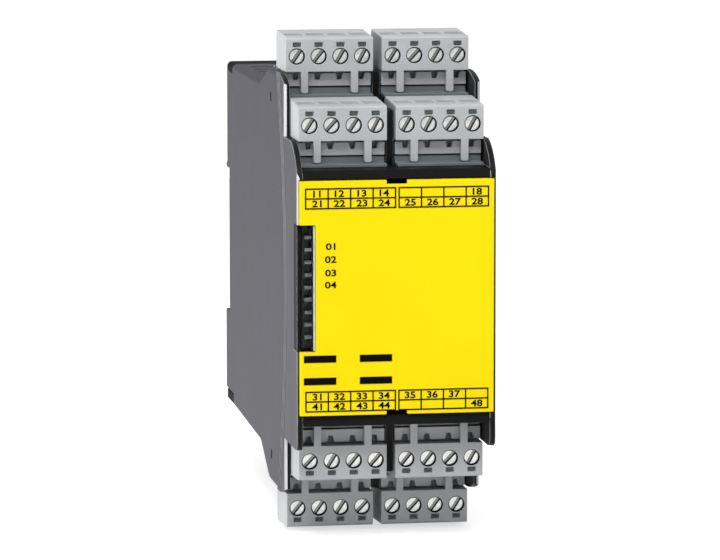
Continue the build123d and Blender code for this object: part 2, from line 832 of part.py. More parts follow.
def header(name, sign, face, inner, centre):
    """The fixed header that a plug slides into, and its four pins."""
    half = header_width / 2
    back = face + header_back
    with BuildPart() as body:
        with BuildSketch(side_plane(centre)):
            with BuildLine():
                Polyline(
                    point(face - header_lip, sign * (inner - header_bottom)),
                    point(face - header_lip, sign * (inner - header_wall_bottom)),
                    point(face + header_front, sign * (inner - header_wall_bottom)),
                    point(face + header_front, sign * (inner - header_wall_top)),
                    point(back, sign * (inner - header_wall_top)),
                    point(back, sign * (inner - fit_gap)),
                    point(back + header_back_wall, sign * (inner - fit_gap)),
                    point(back + header_back_wall, sign * (inner - header_bottom)),
                    close=True,
                )
            make_face()
        extrude(amount=half, both=True)
        for place in pole_places(centre):
            pin(place, sign, back, inner, Mode.SUBTRACT)
    save(body, f"header_{name}")

    with BuildPart() as pins:
        for place in pole_places(centre):
            pin(place, sign, back, inner)
        tips = pins.edges().group_by(Axis.Y)[0]
        chamfer(tips, length=pin_size / 5)
    save(pins, f"pins_{name}")


def pin(place, sign, back, inner, mode=Mode.ADD):
    """One square pin: it runs forward into the plug, and down through the row's circuit board."""
    half = pin_size / 2
    bend_back = back + (header_back_wall + pin_size) / 2
    across = (place - half, place + half)
    along_up = (sign * (inner - pin_height - half), sign * (inner - pin_height + half))
    down_up = (sign * (inner - header_bottom - board - pin_tail), along_up[0])
    block(across, (back - pin_reach, bend_back), along_up, mode)
    block(across, (bend_back - pin_size, bend_back), down_up, mode)


def row_board(name, sign, face, inner):
    """The small circuit board under one row of headers, holed for their pins."""
    top = inner - header_bottom
    back = (face + row_board_front, face + row_board_back)
    pin_middle = face + header_back + header_back_wall / 2
    hole = pin_size / 2 + fit_gap
    with BuildPart() as small_board:
        up = (sign * (top - board), sign * top)
        block((-row_board_half, row_board_half), back, up)
        for side in sides.values():
            for place in pole_places(side * plug_centre):
                hole_back = (pin_middle - hole, pin_middle + hole)
                block((place - hole, place + hole), hole_back, up, Mode.SUBTRACT)
    save(small_board, f"row_board_{name}")


def electronics():
    """The main board, two safety relays, the transformer, the capacitor and the lamp board."""
    with BuildPart() as main_board:
        across = (board_side, board_side + board)
        block(across, (board_front, board_rear), (-board_half_height, board_half_height))
    save(main_board, "main_board")

    relay_across_span = (board_side - relay_tall, board_side)
    for number, bottom in enumerate(relay_heights, start=1):
        with BuildPart() as relay:
            relay_back = (relay_depth, relay_depth + relay_length)
            block(relay_across_span, relay_back, (bottom, bottom + relay_across))
            fillet(relay.edges().filter_by(Axis.X), radius=edge_round)
        save(relay, f"relay_{number}")

    with BuildPart() as transformer:
        tall, long, high = transformer_size
        transformer_up = (transformer_height, transformer_height + high)
        block((board_side - tall, board_side), (relay_depth, relay_depth + long), transformer_up)
        fillet(transformer.edges().filter_by(Axis.X), radius=edge_round)
    save(transformer, "transformer")

    with BuildPart() as capacitor:
        capacitor_back = relay_depth + transformer_size[1] + 2 * capacitor_radius
        middle = point(capacitor_back, transformer_height / 2 - capacitor_radius)
        with BuildSketch(side_plane(board_side)):
            with Locations(middle):
                Circle(capacitor_radius)
        extrude(amount=-capacitor_length)
        fillet(capacitor.edges().filter_by(GeomType.CIRCLE).sort_by(Axis.X)[0], radius=edge_round)
    save(capacitor, "capacitor")

    lamp_back = deck_depth + deck_wall
    with BuildPart() as lamp_board:
        lamp_across = (-pocket_half + fit_gap, -window_inner + wall)
        block(lamp_across, (lamp_back, lamp_back + board), (-window_bottom, window_top))
    save(lamp_board, "lamp_board")


os.makedirs("parts", exist_ok=True)
rear_housing()
front_housing()
front_cover()
label_print()
indicator()
rear_strip()
foot_latch()
latch_spring()
for row, (sign, face, inner) in rows.items():
    row_board(row, sign, face, inner)
    for hand, side in sides.items():
        name = f"{row}_{hand}"
        centre = side * plug_centre
        plug_housing(name, sign, face, inner, centre)
        terminal_screws(name, sign, face, inner, centre)
        wire_cages(name, sign, face, inner, centre)
        header(name, sign, face, inner, centre)
electronics()
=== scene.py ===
# %% [markdown]
# # Dressing a safety relay with pull-off terminals
# A safety relay is a flat box that clips to a mounting rail in a switch cabinet.
# Its wires go into grey terminal plugs, in two steps above and below a yellow front panel.
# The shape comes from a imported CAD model, which is loaded first and stays as it is.
# Blender adds what the eye needs: rounded edges, moulded and plated surfaces, print and light.

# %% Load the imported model
import json
import math

import bmesh
import bpy
from mathutils import Matrix, Vector


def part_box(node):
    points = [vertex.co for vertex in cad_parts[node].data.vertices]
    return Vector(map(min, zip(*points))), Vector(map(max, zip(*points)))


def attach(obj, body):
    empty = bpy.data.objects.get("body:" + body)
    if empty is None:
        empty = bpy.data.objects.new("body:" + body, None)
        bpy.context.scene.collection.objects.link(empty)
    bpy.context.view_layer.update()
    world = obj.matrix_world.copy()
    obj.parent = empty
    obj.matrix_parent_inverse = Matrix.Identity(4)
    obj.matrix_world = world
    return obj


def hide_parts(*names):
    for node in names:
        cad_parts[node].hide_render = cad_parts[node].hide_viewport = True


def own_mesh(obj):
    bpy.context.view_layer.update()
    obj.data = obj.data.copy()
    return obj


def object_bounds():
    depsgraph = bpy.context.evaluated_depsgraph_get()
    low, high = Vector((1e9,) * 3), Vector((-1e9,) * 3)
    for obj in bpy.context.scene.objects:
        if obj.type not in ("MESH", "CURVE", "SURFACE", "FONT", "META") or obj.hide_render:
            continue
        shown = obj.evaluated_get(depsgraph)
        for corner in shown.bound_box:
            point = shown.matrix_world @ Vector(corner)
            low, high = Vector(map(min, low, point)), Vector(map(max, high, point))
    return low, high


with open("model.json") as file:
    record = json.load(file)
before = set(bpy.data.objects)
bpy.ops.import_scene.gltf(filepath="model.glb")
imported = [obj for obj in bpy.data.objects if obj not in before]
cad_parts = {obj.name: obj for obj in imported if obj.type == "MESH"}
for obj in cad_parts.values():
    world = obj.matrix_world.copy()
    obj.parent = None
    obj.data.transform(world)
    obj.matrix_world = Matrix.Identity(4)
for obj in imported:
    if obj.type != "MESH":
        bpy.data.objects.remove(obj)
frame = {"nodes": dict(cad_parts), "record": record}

cad_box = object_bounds()
millimetre = 0.001
rows = ("upper_rear", "upper_front", "lower_front", "lower_rear")
hands = ("left", "right")
plug_names = [f"{row}_{hand}" for row in rows for hand in hands]

# %% [markdown]
# ## The camera
# The relay is seen from the front, a little from the left and from above, through a long lens.
# A long lens keeps the panel's edges almost parallel, as in a catalogue picture.
# The camera is aimed with `to_track_quat`, which turns a direction into a rotation.

# %% Place the camera
camera_place = Vector((-0.170, -1.1145, 0.133))
camera_target = Vector((-0.0084, -0.1145, 0.0041))
camera_data = bpy.data.cameras.new("camera")
camera_data.sensor_width = 36
camera_data.lens = 229.6
camera = bpy.data.objects.new("camera", camera_data)
camera.location = camera_place
camera.rotation_euler = (camera_target - camera_place).to_track_quat("-Z", "Y").to_euler()
scene = bpy.context.scene
scene.collection.objects.link(camera)
scene.camera = camera
scene.view_settings.view_transform = "Standard"
print("camera distance:", round((camera_target - camera_place).length, 3), "m")

# %% [markdown]
# ## A helper for node trees
# Materials and Geometry Nodes are both trees of nodes.
# One small function adds a node, sets its options and fills its inputs with values or links.
# That keeps each tree short enough to read from top to bottom.


# %% Add a node
def put(tree, kind, inputs=None, **options):
    """Add a node to a tree, set its options, and fill its inputs with values or links."""
    node = tree.nodes.new(kind)
    for option, value in options.items():
        setattr(node, option, value)
    for socket, value in (inputs or {}).items():
        if isinstance(value, bpy.types.NodeSocket):
            tree.links.new(value, node.inputs[socket])
        else:
            node.inputs[socket].default_value = value
    return node


def paint(red, green, blue):
    """A colour as a screen shows it, from 0 to 255, as the linear values that shaders use."""
    shares = [value / 255 for value in (red, green, blue)]
    linear = [((share + 0.055) / 1.055) ** 2.4 if share > 0.04 else share / 12.92 for share in shares]
    return (*linear, 1.0)


# %% [markdown]
# ## The studio
# A catalogue picture has a white background and soft light, brighter from the left.
# The world gives even light to matt surfaces. Rays from the camera meet white, also through glass.
# Reflections meet white behind the relay and a dim studio in front of it, so that black plastic
# looks black from the front and turns grey where it is seen at a low angle, as it does in a real studio.
# One soft lamp at the left makes the left faces lighter and draws thin highlights along rounded edges.
# A second lamp above the camera lights the panel. A white floor takes the shadow.

# %% World
world = bpy.data.worlds.new("studio")
world.use_nodes = True
scene.world = world
air = world.node_tree
air.nodes.clear()
even_light = 0.42
dim_studio = 0.2
bright_studio = 0.7
ray = put(air, "ShaderNodeLightPath").outputs
direction = put(air, "ShaderNodeSeparateXYZ", {0: put(air, "ShaderNodeTexCoord").outputs["Generated"]})
reflected = put(
    air,
    "ShaderNodeMapRange",
    {
        "Value": direction.outputs["Y"],
        "From Min": -0.7,
        "From Max": 0.3,
        "To Min": dim_studio,
        "To Max": bright_studio,
    },
)
light_inputs = {"Factor": ray["Is Glossy Ray"], "A": even_light, "B": reflected.outputs[0]}
level = put(air, "ShaderNodeMix", light_inputs)
bounces = put(air, "ShaderNodeMath", {0: ray["Diffuse Depth"], 1: ray["Glossy Depth"]}, operation="ADD")
straight = put(air, "ShaderNodeMath", {0: bounces.outputs[0], 1: 0.5}, operation="LESS_THAN")
through_inputs = {0: ray["Is Transmission Ray"], 1: straight.outputs[0]}
through = put(air, "ShaderNodeMath", through_inputs, operation="MULTIPLY")
seen = put(air, "ShaderNodeMath", {0: ray["Is Camera Ray"], 1: through.outputs[0]}, operation="MAXIMUM")
level = put(air, "ShaderNodeMix", {"Factor": seen.outputs[0], "A": level.outputs[0], "B": 1.0})
sky = put(air, "ShaderNodeBackground", {"Color": (1, 1, 1, 1), "Strength": level.outputs[0]})
put(air, "ShaderNodeOutputWorld", {"Surface": sky.outputs[0]})
print("even light:", even_light)


# %% Lamps
def soft_lamp(name, place, aim, size, power):
    """A square area lamp at a place, aimed at a point."""
    data = bpy.data.lights.new(name, "AREA")
    data.size = size
    data.energy = power
    lamp = bpy.data.objects.new(name, data)
    lamp.location = place
    lamp.rotation_euler = (Vector(aim) - Vector(place)).to_track_quat("-Z", "Y").to_euler()
    scene.collection.objects.link(lamp)


middle = (0, -0.09, 0)
soft_lamp("lamp_left", (-1.1, -0.12, 0.10), middle, size=0.55, power=9)
soft_lamp("lamp_front", (-0.25, -1.05, 1.45), middle, size=0.9, power=23)

# %% [markdown]
# ## The floor
# The floor is a wide white sheet just below the relay. It glows a little where it is seen, also in
# reflections and through glass. That makes it as white as the background, and the shadow stays visible.

# %% Lay the floor
floor_glow = 0.62
floor_gap = 0.3 * millimetre
fibre_depth = 0.1 * millimetre
paper = bpy.data.materials.new("paper")
paper.use_nodes = True
paper_tree = paper.node_tree
paper_shader = paper_tree.nodes["Principled BSDF"]
paper_shader.inputs["Roughness"].default_value = 0.9
paper_shader.inputs["Specular IOR Level"].default_value = 0.1
paper_shader.inputs["Emission Color"].default_value = (1, 1, 1, 1)
ray = put(paper_tree, "ShaderNodeLightPath").outputs
seen_inputs = {0: ray["Is Camera Ray"], 1: ray["Is Glossy Ray"]}
seen = put(paper_tree, "ShaderNodeMath", seen_inputs, operation="MAXIMUM")
seen_inputs = {0: seen.outputs[0], 1: ray["Is Transmission Ray"]}
seen = put(paper_tree, "ShaderNodeMath", seen_inputs, operation="MAXIMUM")
glow = put(paper_tree, "ShaderNodeMath", {0: seen.outputs[0], 1: floor_glow}, operation="MULTIPLY")
paper_tree.links.new(glow.outputs[0], paper_shader.inputs["Emission Strength"])
fibres = put(paper_tree, "ShaderNodeTexNoise", {"Scale": 900.0, "Detail": 3.0}).outputs["Fac"]
fibre_inputs = {"Height": fibres, "Strength": 0.1, "Distance": fibre_depth}
fibre_relief = put(paper_tree, "ShaderNodeBump", fibre_inputs)
paper_tree.links.new(fibre_relief.outputs["Normal"], paper_shader.inputs["Normal"])
floor_mesh = bpy.data.meshes.new("floor")
floor_plan = bmesh.new()
bmesh.ops.create_grid(floor_plan, x_segments=8, y_segments=8, size=8)
bmesh.ops.translate(floor_plan, verts=floor_plan.verts, vec=(0, 0, cad_box[0].z - floor_gap))
floor_plan.to_mesh(floor_mesh)
floor_plan.free()
floor_mesh.materials.append(paper)
floor = bpy.data.objects.new("floor", floor_mesh)
scene.collection.objects.link(floor)
print("floor height:", round(cad_box[0].z, 4), "m")

# %% [markdown]
# ## Patterns for materials
# A real surface is never one flat colour: moulded plastic has a fine grain and faint flow marks.
# Procedural noise makes such marks without any picture file, at a size that is given in millimetres.
# Object coordinates are used, so that a pattern stays on its piece when the piece moves.


# %% Material helpers
def start_material(name, roughness, gloss=0.5, metal=0.0):
    """A new material, with its tree, its shader and its place in millimetres."""
    material = bpy.data.materials.new(name)
    material.use_nodes = True
    tree = material.node_tree
    shader = tree.nodes["Principled BSDF"]
    shader.inputs["Roughness"].default_value = roughness
    shader.inputs["Specular IOR Level"].default_value = gloss
    shader.inputs["Metallic"].default_value = metal
    place = put(tree, "ShaderNodeTexCoord").outputs["Object"]
    return material, tree, shader, place


def cloud(tree, place, size, stretch=(1, 1, 1), detail=3.0):
    """Soft noise with patches of about a size in millimetres, longer where stretch is above 1."""
    scale = [1 / (size * millimetre * share) for share in stretch]
    mapping = put(tree, "ShaderNodeMapping", {"Vector": place, "Scale": scale})
    inputs = {"Vector": mapping.outputs[0], "Scale": 1.0, "Detail": detail}
    return put(tree, "ShaderNodeTexNoise", inputs).outputs["Fac"]


def between(tree, pattern, dark, light, low=0.3, high=0.7):
    """A colour between two colours, chosen by a pattern."""
    ramp = put(tree, "ShaderNodeValToRGB", {"Fac": pattern})
    first, last = ramp.color_ramp.elements
    first.position, first.color = low, dark
    last.position, last.color = high, light
    return ramp.outputs["Color"]


def spread(tree, pattern, low, high):
    """A number between two numbers, chosen by a pattern."""
    span = put(tree, "ShaderNodeMapRange", {"Value": pattern, "To Min": low, "To Max": high})
    return span.outputs["Result"]


def average(tree, first, second, share):
    """Two patterns mixed, with the share that the second one has."""
    return put(tree, "ShaderNodeMix", {"Factor": share, "A": first, "B": second}).outputs["Result"]


def relief(tree, shader, pattern, strength, depth):
    """Tiny hills and hollows of a depth in millimetres, from a pattern."""
    inputs = {"Height": pattern, "Strength": strength, "Distance": depth * millimetre}
    tree.links.new(put(tree, "ShaderNodeBump", inputs).outputs["Normal"], shader.inputs["Normal"])


# %% [markdown]
# ## Moulded plastics
# The housing, plugs, headers and latch are injection moulded, each in its own shade.
# The mould is spark-eroded, which leaves a fine, even grain, and the melt leaves faint streaks.
# One function makes them all: streaks and clouds move the tone, and a grain of a tenth of a
# millimetre moves the surface. Only the numbers differ from plastic to plastic.


# %% Make the plastics
def moulded(name, dark, light, roughness, gloss, grain, depth, streak=(1, 1, 1), streak_size=8.0):
    """Moulded plastic with faint streaks, soft clouds and a fine grain."""
    material, tree, shader, place = start_material(name, roughness, gloss)
    streaks = cloud(tree, place, streak_size, streak)
    clouds = cloud(tree, place, 22.0)
    tone = average(tree, streaks, clouds, 0.4)
    tree.links.new(between(tree, tone, paint(*dark), paint(*light)), shader.inputs["Base Color"])
    fine = cloud(tree, place, grain, detail=2.0)
    tree.links.new(spread(tree, fine, roughness - 0.08, roughness + 0.08), shader.inputs["Roughness"])
    relief(tree, shader, fine, 0.5, depth)
    return material


upright = (0.12, 0.12, 3.0)
housing_grey = moulded("housing_plastic", (39, 39, 49), (50, 50, 61), 0.55, 0.3, 0.35, 0.02, upright, 12.0)
front_black = moulded("front_plastic", (6, 6, 7), (12, 12, 13), 0.5, 0.16, 0.35, 0.015, upright, 12.0)
# painted shade: the dark grey of the blocks on the marker recess floors
marker_shade_grey = moulded("marker_painted_shade", (74, 77, 77), (92, 95, 95), 0.6, 0.2, 0.3, 0.01)
strip_black = moulded("strip_plastic", (9, 9, 10), (16, 16, 17), 0.6, 0.03, 0.3, 0.01)
latch_black = moulded("latch_plastic", (5, 5, 6), (11, 11, 12), 0.6, 0.04, 0.35, 0.015)
plug_grey = moulded("plug_plastic", (177, 179, 181), (192, 194, 196), 0.5, 0.4, 0.3, 0.012)
header_grey = moulded("header_plastic", (108, 114, 117), (124, 130, 133), 0.42, 0.45, 0.3, 0.01)
guide_black = moulded("guide_plastic", (10, 13, 13), (20, 24, 24), 0.35, 0.5, 0.4, 0.01)
# painted shade: this black colours the rings in the screw wells; it is also the window's dark side
shade_ring_and_side_black = moulded("shade_ring_and_side_plastic", (8, 8, 9), (14, 14, 15), 0.6, 0.12, 0.3, 0.01)

# %% [markdown]
# ## Two tones on one piece
# The front section is black where the terminals and the panel sit, but its outer sides are finished like
# the grey rear shell beside them. One piece can carry both: a mask is worked out from the distance to
# the middle plane, and it mixes a grey into the black on the outermost tenths of a millimetre.
# Its slanted outer edges carry a painted highlight. Faces that lean halfway between front and side
# are found from their direction, and a patchy pale grey is mixed in there, where the left lamp's reflection
# would fall.

# %% Grey outer sides for the front section
tree = front_black.node_tree
shader = tree.nodes["Principled BSDF"]
place = put(tree, "ShaderNodeTexCoord").outputs["Object"]
across = put(tree, "ShaderNodeSeparateXYZ", {0: place}).outputs["X"]
outward = put(tree, "ShaderNodeMath", {0: across}, operation="ABSOLUTE").outputs[0]
side_start = 22.15 * millimetre
side_full = 22.3 * millimetre
mask = put(tree, "ShaderNodeMapRange", {"Value": outward, "From Min": side_start, "From Max": side_full})
two_tone = put(tree, "ShaderNodeMix", {"Factor": mask.outputs["Result"]}, data_type="RGBA")
tree.links.new(shader.inputs["Base Color"].links[0].from_socket, two_tone.inputs[6])
side_tone = between(tree, cloud(tree, place, 12.0, upright), paint(42, 42, 50), paint(52, 52, 60))
tree.links.new(side_tone, two_tone.inputs[7])
normal = put(tree, "ShaderNodeNewGeometry").outputs["Normal"]
facing = put(tree, "ShaderNodeSeparateXYZ", {0: normal}).outputs["X"]
slant = put(tree, "ShaderNodeMath", {0: facing}, operation="ABSOLUTE").outputs[0]
halfway = 0.707
off_square = put(tree, "ShaderNodeMath", {0: slant, 1: halfway}, operation="SUBTRACT").outputs[0]
off_square = put(tree, "ShaderNodeMath", {0: off_square}, operation="ABSOLUTE").outputs[0]
edge_inputs = {"Value": off_square, "From Min": 0.1, "From Max": 0.3, "To Min": 1.0, "To Max": 0.0}
on_edge = put(tree, "ShaderNodeMapRange", edge_inputs).outputs["Result"]
patchy = spread(tree, cloud(tree, place, 4.0), 0.75, 1.0)
painted_highlight_share = put(tree, "ShaderNodeMath", {0: on_edge, 1: patchy}, operation="MULTIPLY").outputs[0]
painted_highlight_mix = put(tree, "ShaderNodeMix", {"Factor": painted_highlight_share}, data_type="RGBA")
tree.links.new(two_tone.outputs[2], painted_highlight_mix.inputs[6])
# painted highlight: a pale grey on the slanted edges, where the left lamp's reflection would fall
painted_highlight_mix.inputs[7].default_value = paint(208, 209, 212)
tree.links.new(painted_highlight_mix.outputs[2], shader.inputs["Base Color"])

# %% [markdown]
# ## The panel's finishes
# The front panel is a smooth yellow sheet, printed black. It is glossier than the housing,
# and its surface waves a little, so reflections are never ruler straight.
# The print is a thin layer of ink, matt and very slightly uneven.

# %% Yellow sheet and ink
cover_yellow, tree, shader, place = start_material("yellow_sheet", 0.42, 0.12)
sheet_tone = cloud(tree, place, 30.0)
yellow_tone = between(tree, sheet_tone, paint(246, 221, 0), paint(252, 228, 1))
tree.links.new(yellow_tone, shader.inputs["Base Color"])
relief(tree, shader, cloud(tree, place, 1.6), 0.25, 0.02)

print_black, tree, shader, place = start_material("printing_ink", 0.6, 0.06)
ink_tone = cloud(tree, place, 0.5)
tree.links.new(between(tree, ink_tone, paint(2, 2, 2), paint(7, 7, 7)), shader.inputs["Base Color"])
relief(tree, shader, ink_tone, 0.3, 0.01)

# %% [markdown]
# ## Clear window
# A clear plastic corner covers the lamps. Glass in Blender is transmission on the shader's own socket,
# with a low index: real acrylic has 1.49, but the white studio would then veil the dark bars behind it.
# A slight ripple keeps its highlights alive.
# The bars behind it are smoky plastic, and the cut edge of the window is frosted and painted pale as a
# highlight.
# Both could be glass too, but seen through the window a cloudy opaque plastic reads the same.

# %% Clear plastic
window_clear, tree, shader, place = start_material("clear_plastic", 0.02, 0.5)
shader.inputs["Transmission Weight"].default_value = 1.0
shader.inputs["IOR"].default_value = 1.12
shader.inputs["Base Color"].default_value = paint(236, 240, 240)
relief(tree, shader, cloud(tree, place, 2.5), 0.1, 0.01)

guide_clear, tree, shader, place = start_material("guide_bar_plastic", 0.22, 0.6)
smoke = cloud(tree, place, 0.9, (3, 1, 1))
tree.links.new(between(tree, smoke, paint(74, 84, 84), paint(132, 142, 140)), shader.inputs["Base Color"])
relief(tree, shader, smoke, 0.5, 0.04)

edge_frost_and_glint, tree, shader, place = start_material("frosted_edge_and_glint", 0.35, 0.5)
frost = cloud(tree, place, 0.5, (1, 1, 5))
# painted highlight: the pale tones stand for the light that the cut edge gathers, on top of its frosting
edge_glint_tone = between(tree, frost, paint(176, 181, 182), paint(214, 218, 218))
tree.links.new(edge_glint_tone, shader.inputs["Base Color"])
relief(tree, shader, frost, 0.4, 0.02)

# %% [markdown]
# ## Metals
# The screws are zinc plated: pale, slightly blue or warm in patches, with turning marks from the lathe.
# The cages and pins are tinned, and the spring is drawn wire.
# Metallic is 1, the colour is the reflection's tint, and small patches move tint and roughness.


# %% Make the metals
def plated(name, cool, warm, roughness, patch, scratch):
    """Plated metal with patches of tint and fine brush marks."""
    material, tree, shader, place = start_material(name, roughness, metal=1.0)
    patches = cloud(tree, place, patch)
    tree.links.new(between(tree, patches, paint(*cool), paint(*warm)), shader.inputs["Base Color"])
    marks = cloud(tree, place, scratch, (6, 6, 0.4), detail=4.0)
    tree.links.new(spread(tree, marks, roughness - 0.1, roughness + 0.14), shader.inputs["Roughness"])
    relief(tree, shader, marks, 0.35, 0.01)
    return material


cage_steel = plated("cage_tin", (170, 172, 174), (196, 194, 188), 0.3, 1.5, 0.15)
pin_tin = plated("pin_tin", (190, 190, 188), (214, 210, 202), 0.28, 1.0, 0.15)
spring_steel = plated("spring_wire", (128, 128, 130), (160, 158, 154), 0.3, 0.8, 0.1)

# %% [markdown]
# ## Screw metal
# A screw's face has fine rings from the lathe, and its slot and rim are darkened by painted shade.
# Both follow the screw and not the plug, so they read "spot", the place of each point on its own screw,
# which the screw tree stores further down. Rings are a Wave texture, and painted shade darkens with depth
# below the face.
# A thin dark line of painted shade follows both edges of the slot.

# %% Make the screw metal
screw_steel, tree, shader, place = start_material("screw_zinc", 0.34, metal=1.0)
on_screw = put(tree, "ShaderNodeAttribute", attribute_name="spot").outputs["Vector"]
spot_inputs = {"Vector": on_screw, "Scale": [1 / millimetre] * 3}
in_millimetres = put(tree, "ShaderNodeMapping", spot_inputs).outputs[0]
rings = put(
    tree,
    "ShaderNodeTexWave",
    {"Vector": in_millimetres, "Scale": 2.2, "Distortion": 1.2, "Detail": 2.0},
    wave_type="RINGS",
    rings_direction="Z",
).outputs["Fac"]
zinc = between(tree, cloud(tree, place, 1.4), paint(204, 208, 210), paint(236, 234, 228))
height_on_screw = put(tree, "ShaderNodeSeparateXYZ", {0: in_millimetres}).outputs["Z"]
above_painted_shade = put(tree, "ShaderNodeMapRange", {"Value": height_on_screw, "From Min": -0.45, "From Max": -0.12})
painted_depth_shade = put(tree, "ShaderNodeMix", {"Factor": above_painted_shade.outputs["Result"]}, data_type="RGBA")
# painted shade: a darker grey on the slot floor and the rim, below the face
painted_depth_shade.inputs[6].default_value = paint(144, 145, 144)
tree.links.new(zinc, painted_depth_shade.inputs[7])
slot_width = 0.7
from_middle = put(tree, "ShaderNodeSeparateXYZ", {0: in_millimetres}).outputs["Y"]
from_middle = put(tree, "ShaderNodeMath", {0: from_middle}, operation="ABSOLUTE").outputs[0]
from_edge = put(tree, "ShaderNodeMath", {0: from_middle, 1: slot_width / 2}, operation="SUBTRACT").outputs[0]
from_edge = put(tree, "ShaderNodeMath", {0: from_edge}, operation="ABSOLUTE").outputs[0]
outline_inputs = {"Value": from_edge, "From Min": 0.07, "From Max": 0.13}
off_outline = put(tree, "ShaderNodeMapRange", outline_inputs).outputs[0]
painted_slot_edge_shade = put(tree, "ShaderNodeMix", {"Factor": off_outline}, data_type="RGBA")
# painted shade: a dark line along both edges of the slot
painted_slot_edge_shade.inputs[6].default_value = paint(26, 26, 26)
tree.links.new(painted_depth_shade.outputs[2], painted_slot_edge_shade.inputs[7])
tree.links.new(painted_slot_edge_shade.outputs[2], shader.inputs["Base Color"])
tree.links.new(spread(tree, rings, 0.26, 0.44), shader.inputs["Roughness"])
relief(tree, shader, rings, 0.4, 0.015)

# %% [markdown]
# ## Finishes of the inside
# The circuit boards are green lacquer over copper tracks, which show as slightly lighter lines.
# A Voronoi pattern with its smooth cells cut at a level gives such angular islands.
# The relays, the transformer and the capacitor have plastic or foil skins.

# %% Boards and components
board_green, tree, shader, place = start_material("board_lacquer", 0.3)
tracks = put(tree, "ShaderNodeMapping", {"Vector": place, "Scale": (400, 400, 400)})
island_inputs = {"Vector": tracks.outputs[0], "Scale": 1.0}
islands = put(tree, "ShaderNodeTexVoronoi", island_inputs, distance="CHEBYCHEV")
lacquer = between(tree, islands.outputs["Distance"], paint(18, 88, 52), paint(30, 116, 66), 0.42, 0.46)
tree.links.new(lacquer, shader.inputs["Base Color"])
relief(tree, shader, islands.outputs["Distance"], 0.4, 0.03)

relay_case = moulded("relay_plastic", (218, 218, 214), (230, 230, 226), 0.4, 0.5, 0.4, 0.01)
transformer_case = moulded("transformer_plastic", (34, 34, 38), (46, 46, 50), 0.5, 0.4, 0.5, 0.02)
capacitor_case = moulded("capacitor_foil", (28, 34, 62), (38, 46, 78), 0.25, 0.5, 0.5, 0.01)

finish_of_node = {
    "board_green": board_green,
    "relay_case": relay_case,
    "transformer_case": transformer_case,
    "capacitor_case": capacitor_case,
    "cage_steel": cage_steel,
    "pin_tin": pin_tin,
    "print_black": print_black,
}
carried = 0
for node, piece in frame["nodes"].items():
    slot = next(row["material_slot"] for row in frame["record"]["subparts"] if row["node"] == node)
    if slot in finish_of_node:
        piece.data.materials.clear()
        piece.data.materials.append(finish_of_node[slot])
        carried += 1
print("CAD nodes that keep their shape:", carried)

# %% [markdown]
# ## Rounding the edges of a moulded piece
# No moulded edge is truly sharp: a radius of a tenth of a millimetre catches a thin line of light.
# The CAD mesh arrives as loose triangles, so a copy of it is welded first, and its flat faces are joined.
# A Bevel modifier then rounds every edge that is sharper than a limit, and a Weighted Normal modifier
# lets the large faces decide how the light falls, so flat faces look flat up to their rounded edges.
# The result is stored as a plain mesh.


# %% Dress a CAD node
def plain_mesh(name, piece):
    """The piece with its modifiers worked in, as a new object that holds a plain mesh."""
    graph = bpy.context.evaluated_depsgraph_get()
    mesh = bpy.data.meshes.new_from_object(piece.evaluated_get(graph))
    mesh.name = name
    scene.collection.objects.link(made := bpy.data.objects.new(name, mesh))
    bpy.data.objects.remove(piece)
    return made


def round_edges(name, mesh, edge, angle=32):
    """A plain object from a mesh, with its sharp edges rounded to a radius in millimetres."""
    draft = bpy.data.objects.new("draft", mesh)
    scene.collection.objects.link(draft)
    mesh.shade_smooth()
    bevel = draft.modifiers.new("rounding", "BEVEL")
    bevel.width = edge * millimetre
    bevel.segments = 2
    bevel.limit_method = "ANGLE"
    bevel.angle_limit = math.radians(angle)
    bevel.use_clamp_overlap = False
    flat_faces = draft.modifiers.new("flat_faces", "WEIGHTED_NORMAL")
    flat_faces.weight = 100
    flat_faces.keep_sharp = True
    return plain_mesh(name, draft)


def settle(piece, body, slot, material, *nodes):
    """Give a finished piece its material and its body, and let it stand for CAD nodes. The slot is not used.
    """
    piece.data.materials.clear()
    piece.data.materials.append(material)
    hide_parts(*nodes)
    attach(piece, body)


def dress(node, body, slot, material, edge, reshape=None):
    """A copy of a CAD node with joined flat faces and rounded edges, and moved points where asked."""
    shape = bmesh.new()
    shape.from_mesh(frame["nodes"][node].data)
    bmesh.ops.remove_doubles(shape, verts=shape.verts, dist=0.002 * millimetre)
    bmesh.ops.dissolve_limit(shape, angle_limit=math.radians(0.5), verts=shape.verts, edges=shape.edges)
    if reshape is not None:
        reshape(shape)
    mesh = bpy.data.meshes.new("draft")
    shape.to_mesh(mesh)
    shape.free()
    piece = round_edges("dressed_" + node, mesh, edge)
    settle(piece, body, slot, material, node)
    return piece


# %% [markdown]
# ## A squarer lower corner
# Below the panel, the real side walls run straight down and end in a nearly square corner.
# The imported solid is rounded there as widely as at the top. A new solid could mend it, but moving a few
# points of the copy is enough for the eye, and it stays inside the solid's own box.
# Both outlines are curves of one family, x to a power plus y to the same power is one: the solid's
# rounding has a power near 1.5, and a power of 10 is almost a square. How far a point goes is the
# share between its two lengths, measured with either power, so both ends of the corner stay put.
# Only points near the outline are moved: those whose rounded length is almost one.


# %% Push the lower corner out
cheek_inside = 21.2 * millimetre
corner_back = -104.5 * millimetre
corner_top = -27.0 * millimetre
corner_deep = 9.7 * millimetre
corner_tall = 7.4 * millimetre
round_power = 1.48
square_power = 10
on_outline = 0.975
hair = 0.02 * millimetre


def curved_length(across, down, power):
    """The length of a step, measured with a power: 2 is the usual length."""
    return (across**power + down**power) ** (1 / power)


